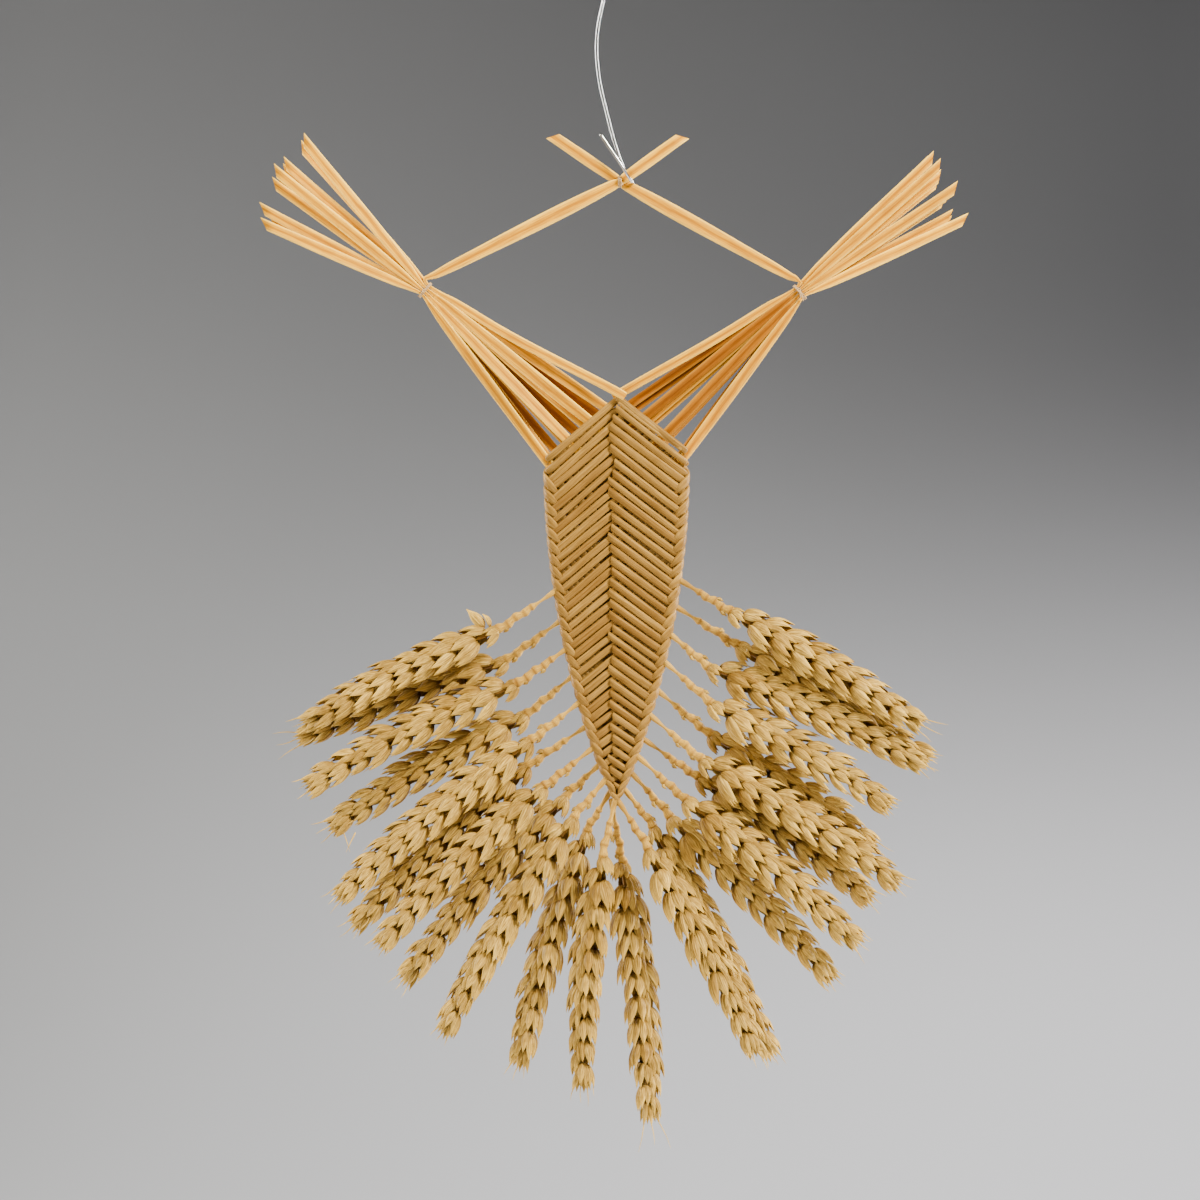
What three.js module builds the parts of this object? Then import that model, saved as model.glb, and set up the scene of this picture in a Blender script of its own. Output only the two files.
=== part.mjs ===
// Straw ornament: a plaited wheat fan with twenty-three ears, hung from a bent wire.
// Millimetres, +Z up, the face of the fan looks along -Y.
// The origin is the middle of the eye at the top of the wire, where it hangs.
import * as THREE from 'three';

// ---- driving dimensions ----
const plaitAxisX = 1.5;
const plaitTipZ = -274.3;
const plaitHeight = 135;
const plaitHalfWidth = 23.7;
const shoulderHeight = 114.3;
const leftSlope = 0.86;
const rightSlope = 0.76;
const barsPerSide = 37;
const barRelief = 1.0;
const plaitHalfThickness = 2.6;
const foldWidth = 3.2;

const strawWidth = 3.1;
const strawThickness = 0.95;
const waistPitch = 1.27;
const waistWidth = 0.97;
const waistY = 1.2;
const leftTie = [-62.3, -103.3];
const rightTie = [62.7, -104.0];

const hangerWidth = 3.8;
const crossing = [2.67, -67.3];
const threadRadius = 0.38;
const wireRadius = 0.5;
const eyeRadius = 4;

const earHalfWidth = 6.5;
const earHalfThickness = 4.4;
const spikeletPitch = 7.4;
const frontLayer = -5.4;
const backLayer = 5.4;

// ---- ears: root measured from the tip of the plait, angles below the horizontal ----
// [name, root x, root height, neck angle, neck length, ear angle, ear length, depth]
const ears = [
  ['ear_left_01', -20.6, 70.3, 34, 22.5, 26, 72, frontLayer],
  ['ear_left_02', -18.6, 60.7, 36, 22.5, 21, 74, backLayer],
  ['ear_left_03', -16.6, 51.3, 35, 20, 26, 78, frontLayer],
  ['ear_left_04', -14.6, 42.3, 40, 20, 30, 76, backLayer],
  ['ear_left_05', -12.6, 33.3, 38, 20, 39, 83, frontLayer],
  ['ear_left_06', -10.6, 25.0, 34, 23, 43, 79, backLayer],
  ['ear_left_07', -8.6, 17.7, 38, 19.5, 44, 76, frontLayer],
  ['ear_left_08', -6.9, 11.7, 43, 14, 49, 82, backLayer],
  ['ear_left_09', -4.9, 6.6, 49, 14.5, 59, 84, frontLayer],
  ['ear_left_10', -3.2, 2.4, 59, 13.5, 74, 82, backLayer],
  ['ear_left_11', -1.2, -0.6, 77, 17, 85, 77, frontLayer],
  ['ear_centre', 0.1, -0.9, 100, 19, 96, 87, backLayer],
  ['ear_right_11', 1.7, -0.6, 57, 17, 62, 77, frontLayer],
  ['ear_right_10', 4.2, 2.8, 52, 13.5, 63, 87, backLayer],
  ['ear_right_09', 6.4, 8.6, 48, 17.5, 45, 77, backLayer],
  ['ear_right_08', 8.4, 14.4, 42, 19.5, 40, 75, frontLayer],
  ['ear_right_07', 10.2, 20.3, 35, 20.5, 35, 71, backLayer],
  ['ear_right_06', 12.4, 28.3, 41, 20.5, 32, 78, frontLayer],
  ['ear_right_05', 14.6, 36.7, 40, 21.5, 35, 67, backLayer],
  ['ear_right_04', 16.8, 46.3, 41, 19, 30, 69, frontLayer],
  ['ear_right_03', 19.0, 55.3, 40, 15, 25, 79, -1.5],
  ['ear_right_02', 20.7, 64.7, 32, 23, 31, 75, backLayer],
  ['ear_right_01', 22.4, 73.3, 32, 18, 31, 74, frontLayer],
];

// ---- stems above the plait ----
// [place along the top edge 0..1, slot across the tie 0..3, layer 0..2, spray angle, spray length]
const leftStraws = [
  [0.36, 1, 0, 50, 65],
  [0.68, 2, 0, 38, 64.5],
  [0.99, 3, 0, 22.3, 58.5],
  [0.14, 0, 1, 48.3, 64],
  [0.43, 1, 1, 41.5, 64],
  [0.71, 2, 1, 34.8, 62.5],
  [0.96, 3, 1, 26.5, 61.5],
  [0.25, 0, 2, 40, 63],
  [0.55, 2, 2, 36.4, 62],
  [0.85, 3, 2, 24.4, 57],
];
const rightStraws = [
  [0.36, 1, 0, 41.5, 63.5],
  [0.68, 2, 0, 33.4, 63],
  [0.99, 3, 0, 23.7, 60.5],
  [0.14, 0, 1, 44.6, 64],
  [0.42, 1, 1, 39.2, 61.5],
  [0.70, 2, 1, 33.1, 60],
  [0.96, 3, 1, 26.9, 57],
  [0.20, 0, 2, 44.8, 62],
  [0.46, 1, 2, 38.4, 60],
  [0.72, 2, 2, 32.4, 58],
  [0.98, 3, 2, 25.4, 56],
];
const leftHanger = { place: 0.05, end: [25.0, -53.0], lean: -0.65 };
const rightHanger = { place: 0.05, end: [-21.3, -52.7], lean: 0.65 };

const group = new THREE.Group();
group.name = 'straw_ornament';

function addPiece(name, geometry, color, roughness = 0.6, metalness = 0) {
  const material = new THREE.MeshStandardMaterial({ color, roughness, metalness, flatShading: true });
  const mesh = new THREE.Mesh(geometry, material);
  mesh.name = name;
  group.add(mesh);
  return mesh;
}

// Closed skin through a row of rings; each end is closed onto a point.
function skin(rings, startPoint, endPoint) {
  const count = rings[0].length;
  const points = rings.flat();
  const faces = [];
  for (let i = 0; i + 1 < rings.length; i += 1) {
    for (let j = 0; j < count; j += 1) {
      const a = i * count + j;
      const b = i * count + (j + 1) % count;
      faces.push(a, b, b + count);
      faces.push(a, b + count, a + count);
    }
  }
  const start = points.length;
  const end = start + 1;
  const last = (rings.length - 1) * count;
  points.push(startPoint, endPoint);
  for (let j = 0; j < count; j += 1) {
    const k = (j + 1) % count;
    faces.push(start, k, j);
    faces.push(end, last + j, last + k);
  }
  let volume = 0;
  for (let i = 0; i < faces.length; i += 3) {
    const [a, b, c] = [points[faces[i]], points[faces[i + 1]], points[faces[i + 2]]];
    volume += a.dot(b.clone().cross(c));
  }
  if (volume < 0) {
    faces.reverse();
  }
  const geometry = new THREE.BufferGeometry();
  geometry.setFromPoints(points);
  geometry.setIndex(faces);
  geometry.computeVertexNormals();
  return geometry;
}

function middleOf(ring) {
  const centre = new THREE.Vector3();
  ring.forEach((point) => centre.add(point));
  return centre.divideScalar(ring.length);
}

function directions(points) {
  return points.map((point, i) => {
    const before = points[Math.max(i - 1, 0)];
    const after = points[Math.min(i + 1, points.length - 1)];
    const ahead = after.clone().sub(point);
    const behind = point.clone().sub(before);
    if (ahead.lengthSq() > 0) {
      ahead.normalize();
    }
    if (behind.lengthSq() > 0) {
      behind.normalize();
    }
    return ahead.add(behind).normalize();
  });
}

// ---- plaited body ----
function halfWidthAt(height) {
  const part = Math.min(Math.max(height, 0) / shoulderHeight, 1);
  return plaitHalfWidth * Math.sin((Math.PI / 2) * part ** 0.85);
}

// Height at which a bar starting at the centre line reaches the edge.
function edgeHeight(centreHeight, slope) {
  let low = 0;
  let high = centreHeight;
  for (let i = 0; i < 40; i += 1) {
    const middle = (low + high) / 2;
    if (middle + slope * halfWidthAt(middle) < centreHeight) {
      low = middle;
    } else {
      high = middle;
    }
  }
  return low;
}

// One ring of the plait: down the front bars to both edges and on round the back.
function plaitRing(centreHeight, raised) {
  const relief = raised ? barRelief : 0;
  const deep = plaitHalfThickness - barRelief;
  const sides = [
    { sign: 1, slope: rightSlope, lap: 0.5 },
    { sign: -1, slope: leftSlope, lap: 0 },
  ].map((side) => {
    const edge = edgeHeight(centreHeight, side.slope);
    return { ...side, edge, reach: halfWidthAt(edge) };
  });
  const backDrop = 0.8 * (sides[0].reach + sides[1].reach) / 2;
  const backHeight = (sides[0].edge + sides[1].edge) / 2 - backDrop;
  const thin = Math.min(1, 0.35 + centreHeight / 60);
  const point = (x, y, height) => new THREE.Vector3(plaitAxisX + x, y * thin, plaitTipZ + height);
  const seam = (raised ? -1.0 : 0.6) * Math.min(1, centreHeight / 12);
  const ring = [];
  sides.forEach((side) => {
    const { sign, slope, edge, reach, lap } = side;
    const fold = Math.max(reach - foldWidth, reach * 0.55);
    const crest = Math.max(reach - foldWidth * 0.45, reach * 0.8);
    const bump = Math.min(1, reach / 6);
    const front = (x, y) => point(sign * x, -y, centreHeight - slope * x);
    const back = (x, y) => point(sign * x, y, backHeight + (edge - backHeight) * (x / reach));
    const half = [
      point(seam, -(deep + relief + lap * relief), centreHeight - slope * Math.abs(seam) * 0.4),
      front(fold, deep + relief * 0.8),
      front(crest, deep + relief * 0.9 - 0.3),
      point(sign * (reach + (raised ? 0.4 : -0.5) * bump), 0, edge),
      back(crest, deep + relief * 0.9 - 0.3),
      back(fold, deep + relief * 0.8),
    ];
    ring.push(...(sign > 0 ? half : half.reverse()));
    if (sign > 0) {
      ring.push(point(0, deep + relief, backHeight));
    }
  });
  return ring;
}

function makePlait() {
  const rings = [];
  const barHeight = plaitHeight / (barsPerSide - 0.2);
  for (let bar = 0; bar < barsPerSide; bar += 1) {
    [[0.0, false], [0.22, true], [0.8, true]].forEach(([place, raised]) => {
      if (bar > 0 || raised) {
        rings.push(plaitRing((bar + place) * barHeight, raised));
      }
    });
  }
  // the top bars are thin: their backs step straight to a shallow hollow behind
  const top = rings[rings.length - 1].map((point) => {
    const shifted = point.clone();
    if (point.y < -0.6) {
      shifted.y = -0.9;
    }
    return shifted;
  });
  rings.push(top);
  const tip = new THREE.Vector3(plaitAxisX, 0, plaitTipZ);
  const hollow = new THREE.Vector3(plaitAxisX, -0.8, plaitTipZ + shoulderHeight + 2);
  addPiece('plaited_body', skin(rings, tip, hollow), 0xb9853f, 0.55);
}

// ---- ears ----
function makeEar([name, rootX, rootHeight, neckAngle, neckLength, earAngle, earLength, depth]) {
  const side = rootX < 0 || name === 'ear_centre' ? -1 : 1;
  const aim = (angle) => {
    const turn = THREE.MathUtils.degToRad(angle);
    return new THREE.Vector3(side * Math.cos(turn), 0, -Math.sin(turn));
  };
  const root = new THREE.Vector3(plaitAxisX + rootX, Math.sign(depth) * 1.3, plaitTipZ + rootHeight);
  const base = root.clone().addScaledVector(aim(neckAngle), neckLength);
  base.y = depth * 0.9;
  const tip = base.clone().addScaledVector(aim(earAngle), earLength);
  tip.y = depth;
  const across = new THREE.Vector3(-aim(earAngle).z, 0, aim(earAngle).x).multiplyScalar(side);
  const bow = 1.6;
  const spine = (s) => base.clone().lerp(tip, s).addScaledVector(across, bow * Math.sin(Math.PI * s));

  const rings = [];
  const ringAt = (centre, forward, left, right, thick, leftAhead, rightAhead) => {
    const normal = new THREE.Vector3(-forward.z, 0, forward.x).normalize();
    const ahead = forward.clone().setY(0).normalize();
    rings.push([
      centre.clone().addScaledVector(normal, right).addScaledVector(ahead, rightAhead),
      centre.clone().add(new THREE.Vector3(0, thick, 0)),
      centre.clone().addScaledVector(normal, -left).addScaledVector(ahead, leftAhead),
      centre.clone().add(new THREE.Vector3(0, -thick, 0)),
    ]);
  };
  const neckDirection = base.clone().sub(root);
  [[0, 0.85], [0.35, 0.95], [0.72, 1.3]].forEach(([s, radius]) => {
    const centre = root.clone().lerp(base, s);
    ringAt(centre, neckDirection, radius, radius, radius, 0, 0);
  });
  const count = Math.round(earLength / spikeletPitch) * 2;
  for (let i = 0; i < count; i += 1) {
    const s = i / count;
    const envelope = Math.min(1, 0.42 + s * 3.2) * (1 - 0.55 * Math.max(0, s - 0.55) / 0.45);
    const wide = earHalfWidth * envelope + 0.3;
    const narrow = wide * 0.55;
    const thick = earHalfThickness * envelope * (i % 2 ? 0.9 : 1);
    const forward = spine(Math.min(s + 0.02, 1)).sub(spine(s));
    const lead = spikeletPitch * 0.55;
    if (i % 2) {
      ringAt(spine(s), forward, wide, narrow, thick, lead, 0);
    } else {
      ringAt(spine(s), forward, narrow, wide, thick, 0, lead);
    }
  }
  addPiece(name, skin(rings, middleOf(rings[0]), tip), 0xcfa766, 0.7);
}

// ---- stems ----
function flatStraw(path, endCut) {
  const points = path.map(([x, y, z]) => new THREE.Vector3(x, y, z));
  const forward = directions(points);
  const rings = points.map((point, i) => {
    const [, , , width, thickness] = path[i];
    const normal = new THREE.Vector3(-forward[i].z, 0, forward[i].x).normalize();
    let stretch = 1;
    if (i > 0 && i + 1 < points.length) {
      const ahead = points[i + 1].clone().sub(point).normalize();
      stretch = 1 / Math.max(0.6, Math.abs(ahead.dot(forward[i])));
    }
    const corner = (u, v) => {
      const place = point.clone().addScaledVector(normal, u * width * 0.5 * stretch);
      if (i === points.length - 1) {
        place.addScaledVector(forward[i], u * endCut);
      }
      place.y += v * thickness * 0.5;
      return place;
    };
    return [corner(-1, -1), corner(1, -1), corner(1, 1), corner(-1, 1)];
  });
  return skin(rings, middleOf(rings[0]), middleOf(rings[rings.length - 1]));
}

// Where a stem leaves the top edge of the plait, a little way behind its top bars.
function strawFoot(side, place, layer) {
  const slope = side < 0 ? leftSlope : rightSlope;
  const across = place * (plaitHalfWidth + 0.6);
  const hidden = Math.max(Math.min(4.5, 9 * (1 - place), (across - 1.5) * 1.4) - 0.8, -0.8);
  const x = plaitAxisX + side * (across - 0.7 * hidden);
  const z = plaitTipZ + plaitHeight - slope * across - 0.7 * hidden;
  const y = 0.9 + 1.25 * layer + 2.2 * Math.max(0, place - 0.55);
  return [x, y, z];
}

function slotPoint(side, tie, slot, layer, ahead) {
  const axis = [side * 0.755, 0.656];
  const across = [-side * 0.656, 0.755];
  const offset = (1.5 - slot) * waistPitch;
  return [
    tie[0] + across[0] * offset + axis[0] * ahead,
    waistY + (layer - 1) * 1.25,
    tie[1] + across[1] * offset + axis[1] * ahead,
  ];
}

function partWay(a, b, distance) {
  const span = Math.hypot(b[0] - a[0], b[1] - a[1], b[2] - a[2]);
  const s = Math.min(0.9, distance / span);
  return [0, 1, 2].map((k) => a[k] + (b[k] - a[k]) * s);
}

function bundlePath(side, tie, place, slot, layer) {
  const foot = strawFoot(side, place, layer);
  const enter = slotPoint(side, tie, slot, layer, -1);
  const leave = slotPoint(side, tie, slot, layer, 1);
  return [
    [...foot, strawWidth * 0.96, strawThickness],
    [...partWay(enter, foot, 25), strawWidth * 0.96, strawThickness],
    [...partWay(enter, foot, 8), 1.6, strawThickness],
    [...enter, waistWidth, strawThickness],
    [...leave, waistWidth, strawThickness],
  ];
}

function makeSpray(sideName, side, tie, straws) {
  straws.forEach(([place, slot, layer, angle, length], i) => {
    const path = bundlePath(side, tie, place, slot, layer);
    const leave = slotPoint(side, tie, slot, layer, 1);
    const turn = THREE.MathUtils.degToRad(angle);
    const end = [
      tie[0] + side * length * Math.cos(turn),
      leave[1] + (layer - 1) * 2.2,
      tie[1] + length * Math.sin(turn),
    ];
    path.push(
      [...partWay(leave, end, 8), 1.6, strawThickness],
      [...partWay(leave, end, 24), strawWidth, strawThickness],
      [...end, strawWidth, strawThickness],
    );
    const name = `straw_${sideName}_${String(i + 1).padStart(2, '0')}`;
    addPiece(name, flatStraw(path, side < 0 ? -1.9 : 1.9), 0xe0b56c, 0.5);
  });
}

// The innermost stem of each bundle turns back at the tie and crosses to the far side.
function makeHanger(name, side, tie, hanger) {
  const path = bundlePath(side, tie, hanger.place, 0, 0);
  const bend = slotPoint(side, tie, -0.35, 0, 2.2);
  const middle = [crossing[0], hanger.lean, crossing[1]];
  const end = [hanger.end[0], hanger.lean, hanger.end[1]];
  path.push(
    [...bend, 1.2, strawThickness],
    [...partWay(bend, middle, 14), hangerWidth * 0.9, strawThickness],
    [...partWay(middle, bend, 8), hangerWidth, strawThickness],
    [...middle, hangerWidth * 0.56, strawThickness],
    [...partWay(middle, end, 8), hangerWidth, strawThickness],
    [...end, hangerWidth, strawThickness],
  );
  addPiece(name, flatStraw(path, side < 0 ? 1.2 : -1.2), 0xdcae62, 0.5);
}

// ---- thread ties ----
// Rounds a circle towards the squarish outline of a packed bundle.
function squared(value) {
  return Math.sign(value) * Math.abs(value) ** 0.72;
}

function threadBand(name, centre, axis, halfAcross, halfDeep) {
  const torus = new THREE.TorusGeometry(1, threadRadius, 6, 20);
  const place = torus.attributes.position;
  const forward = new THREE.Vector3(axis[0], 0, axis[1]).normalize();
  const across = new THREE.Vector3(-forward.z, 0, forward.x);
  for (let i = 0; i < place.count; i += 1) {
    const turn = Math.atan2(place.getY(i), place.getX(i));
    const swell = Math.hypot(place.getX(i), place.getY(i)) - 1;
    const point = new THREE.Vector3(centre[0], centre[1], centre[2]);
    point.addScaledVector(across, squared(Math.cos(turn)) * (halfAcross + swell));
    point.y -= squared(Math.sin(turn)) * (halfDeep + swell);
    point.addScaledVector(forward, place.getZ(i) * 1.3);
    place.setXYZ(i, point.x, point.y, point.z);
  }
  torus.computeVertexNormals();
  addPiece(name, torus, 0xe8d6ac, 0.8);
}

// ---- wire ----
function makeWire() {
  const path = [];
  for (let i = 0; i <= 10; i += 1) {
    const turn = THREE.MathUtils.degToRad(-62 - 30.5 * i);
    path.push([eyeRadius * Math.cos(turn), i * 0.03, eyeRadius * Math.sin(turn)]);
  }
  path.push(
    [-2.4, 0.3, -5.6],
    [-3.6, 0.4, -10],
    [-5.0, 0.6, -18.3],
    [-4.3, 1.2, -32.7],
    [-2.0, 2.0, -43],
    [2.6, 2.5, -59],
    [5.3, 2.3, -65.3],
    [6.6, 1.3, -67.1],
    [7.1, 0.0, -67.6],
    [6.6, -1.4, -67.3],
    [5.3, -2.4, -65.5],
    [3.2, -3.0, -62],
    [-0.6, -2.6, -56.4],
    [-3.7, -2.2, -51.7],
  );
  const curve = new THREE.CatmullRomCurve3(path.map((p) => new THREE.Vector3(...p)), false, 'centripetal');
  const shape = new THREE.Shape();
  shape.absarc(0, 0, wireRadius, 0, Math.PI * 2, false);
  const geometry = new THREE.ExtrudeGeometry(shape, {
    steps: 46,
    curveSegments: 3,
    bevelEnabled: false,
    extrudePath: curve,
  });
  addPiece('wire_hook', geometry, 0xb9bcc0, 0.25, 1);
}

makePlait();
ears.forEach(makeEar);
makeSpray('left', -1, leftTie, leftStraws);
makeSpray('right', 1, rightTie, rightStraws);
makeHanger('hanger_straw_left', -1, leftTie, leftHanger);
makeHanger('hanger_straw_right', 1, rightTie, rightHanger);
threadBand('tie_left', [leftTie[0], waistY, leftTie[1]], [-0.755, 0.656], 3.5, 2.75);
threadBand('tie_right', [rightTie[0], waistY, rightTie[1]], [0.755, 0.656], 3.5, 2.75);
threadBand('tie_top', [crossing[0], 0, crossing[1]], [1, 0], 2.3, 2.0);
makeWire();

export default group;
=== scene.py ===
import math
import random

import bmesh
import bpy
import numpy as np
from mathutils import Matrix, Vector


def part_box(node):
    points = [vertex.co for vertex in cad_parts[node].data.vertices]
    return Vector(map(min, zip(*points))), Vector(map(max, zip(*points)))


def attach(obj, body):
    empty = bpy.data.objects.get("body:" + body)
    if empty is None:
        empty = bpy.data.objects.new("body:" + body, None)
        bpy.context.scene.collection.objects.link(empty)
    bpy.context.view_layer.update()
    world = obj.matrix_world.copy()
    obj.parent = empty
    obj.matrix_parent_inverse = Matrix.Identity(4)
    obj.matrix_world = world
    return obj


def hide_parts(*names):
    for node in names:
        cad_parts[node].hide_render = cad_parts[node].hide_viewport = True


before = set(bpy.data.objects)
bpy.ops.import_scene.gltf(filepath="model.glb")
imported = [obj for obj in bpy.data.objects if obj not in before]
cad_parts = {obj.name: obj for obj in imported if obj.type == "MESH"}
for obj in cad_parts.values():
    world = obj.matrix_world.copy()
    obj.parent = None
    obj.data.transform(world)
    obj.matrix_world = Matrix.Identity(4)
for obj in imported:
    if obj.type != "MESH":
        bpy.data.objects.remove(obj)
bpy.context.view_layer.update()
print("stage: frame loaded")

# All shapes are worked out in millimetres and written to the meshes in metres.
mm = 0.001
front = np.array([0.0, -1.0, 0.0])


def nodeBox(name):
    low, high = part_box(name)
    return np.array(low) / mm, np.array(high) / mm


def unit(vector):
    vector = np.asarray(vector, float)
    return vector / max(np.linalg.norm(vector), 1e-9)


def smooth(value):
    value = min(1.0, max(0.0, value))
    return value * value * (3 - 2 * value)


# Every point carries three marks for the materials: its place across, its place along and its tone.
marks = ("across", "along", "tone")
mergeDistance = 0.002


# A closed skin made from one grid: place(u, w) gives a point with its marks across and along.
def shell(aroundCount, alongCount, place):
    bm = bmesh.new()
    layers = {mark: bm.verts.layers.float.new(mark) for mark in marks}
    bmesh.ops.create_grid(bm, x_segments=aroundCount, y_segments=alongCount, size=0.5)
    for vert in bm.verts:
        point, vert[layers["across"]], vert[layers["along"]] = place(vert.co.x + 0.5, vert.co.y + 0.5)
        vert.co = point
    bmesh.ops.remove_doubles(bm, verts=bm.verts, dist=mergeDistance)
    bmesh.ops.recalc_face_normals(bm, faces=bm.faces)
    form = bpy.data.meshes.new("form")
    bm.to_mesh(form)
    bm.free()
    return form


# Smooth values between control rows, each of them a point with its width and thickness.
def blendRows(rows, count):
    rows = np.array(rows, float)
    spans = np.linalg.norm(np.diff(rows[:, :3], axis=0), axis=1)
    stops = np.concatenate([[0], np.cumsum(np.maximum(spans, 1e-6))])
    wanted = np.linspace(0, stops[-1], count)
    wanted = np.unique(np.concatenate([wanted, stops[1:-1]]))
    slopes = np.gradient(rows, stops, axis=0)
    result = []
    for value in wanted:
        i = min(max(np.searchsorted(stops, value) - 1, 0), len(stops) - 2)
        span = stops[i + 1] - stops[i]
        s = (value - stops[i]) / span
        low, high = rows[i], rows[i + 1]
        h1 = 2 * s ** 3 - 3 * s ** 2 + 1
        h2 = s ** 3 - 2 * s ** 2 + s
        h3 = -2 * s ** 3 + 3 * s ** 2
        h4 = s ** 3 - s ** 2
        result.append(h1 * low + h2 * span * slopes[i] + h3 * high + h4 * span * slopes[i + 1])
    return np.array(result), wanted

# How an end closes, from its middle outwards: each ring's size, and its reach past the last row.
# The reach of a round end is in thicknesses, the others are in millimetres, and a cut end is hollow.
endRings = {
    "round": [(0.0, 0.42), (0.55, 0.34), (0.86, 0.16)],
    "point": [(0.0, 0.2)],
    "flat": [(0.0, 0.12), (0.84, 0.1)],
    "cut": [(0.0, -2.6), (0.45, -2.4), (0.5, -0.12), (0.86, 0.0)],
}


# A strap, straw or thread swept along control rows [x, y, z, width, thickness, tilt].
# facing is the way its broad side looks, section(angle) gives its outline, slant sets its ends askew,
# and fixed gives every point the same marks across and along.
def sweep(rows, facing, count=12, around=12, section=None, ends=("round", "round"), slant=(0, 0),
          fixed=None):
    rows = [list(row) + [0] * (6 - len(row)) for row in rows]
    values, lengths = blendRows(rows, count)
    centres = values[:, :3]
    forward = np.gradient(centres, lengths, axis=0)
    rings = []

    def add(i, scale, shift=0.0, edge=0):
        ahead = unit(forward[i])
        side = unit(np.cross(ahead, facing(centres[i]) if callable(facing) else facing))
        normal = unit(np.cross(side, ahead))
        turn = math.radians(values[i, 5])
        tilted = side * math.cos(turn) + normal * math.sin(turn)
        normal = unit(np.cross(tilted, ahead))
        rings.append((centres[i] + ahead * shift, tilted, normal, ahead, values[i, 3] / 2, values[i, 4] / 2,
                      scale, lengths[i] + shift, edge))

    def close(i, kind, sign, cutSlant):
        reachUnit = values[i, 4] if kind == "round" else 1
        edge = cutSlant if kind in ("flat", "cut") else 0
        for scale, reach in endRings[kind][::-sign]:
            add(i, scale, sign * reach * reachUnit, edge)

    close(0, ends[0], -1, slant[0])
    for i in range(len(values)):
        add(i, 1.0, 0.0, slant[0] if i == 0 else slant[1] if i == len(values) - 1 else 0)
    close(len(values) - 1, ends[1], 1, slant[1])
    last = len(rings) - 1

    def place(u, w):
        centre, side, normal, ahead, halfWidth, halfThick, scale, length, edge = rings[round(w * last)]
        angle = 2 * math.pi * u
        x, y = section(angle) if section else (math.cos(angle), math.sin(angle))
        point = centre + (side * x * halfWidth + normal * y * halfThick + ahead * edge * x) * scale
        return Vector(point), *(fixed or (x, length))

    return shell(around, last, place)


# Flattened straw: rounded rims with a shallow groove down the middle of each face.
def strawSection(groove):
    def outline(angle):
        c, s = math.cos(angle), math.sin(angle)
        x = math.copysign(abs(c) ** 0.85, c)
        y = math.copysign(abs(s) ** 0.8, s)
        return x, y * (1 - groove * math.exp(-((x / 0.3) ** 2)))
    return outline


# One piece of the ornament, put together in one bmesh from many straws, scales or threads.
class Gather:
    def __init__(self):
        self.bm = bmesh.new()
        for mark in marks:
            self.bm.verts.layers.float.new(mark)

    # Copies a form in. tone is a value, or a function of the mark along the form.
    # keep leaves the form there for more copies.
    def add(self, form, tone, material=0, matrix=None, mirrored=False, keep=False):
        firstVert, firstFace = len(self.bm.verts), len(self.bm.faces)
        self.bm.from_mesh(form)
        verts, faces = self.bm.verts[firstVert:], self.bm.faces[firstFace:]
        layers = self.bm.verts.layers.float
        alongLayer, toneLayer = layers["along"], layers["tone"]
        for vert in verts:
            vert[toneLayer] = tone(vert[alongLayer]) if callable(tone) else tone
        for face in faces:
            face.material_index = material
            face.smooth = True
        if matrix is not None:
            bmesh.ops.transform(self.bm, matrix=matrix, verts=verts)
        if mirrored:
            bmesh.ops.reverse_faces(self.bm, faces=faces)
        if not keep:
            bpy.data.meshes.remove(form)

    def build(self, name, materials, nodes, slot):
        bmesh.ops.scale(self.bm, vec=(mm, mm, mm), verts=self.bm.verts)
        mesh = bpy.data.meshes.new(name)
        for material in materials:
            mesh.materials.append(material)
        self.bm.to_mesh(mesh)
        self.bm.free()
        piece = bpy.data.objects.new(name, mesh)
        bpy.context.scene.collection.objects.link(piece)
        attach(piece, "root")
        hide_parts(*nodes)
        return piece


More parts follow.
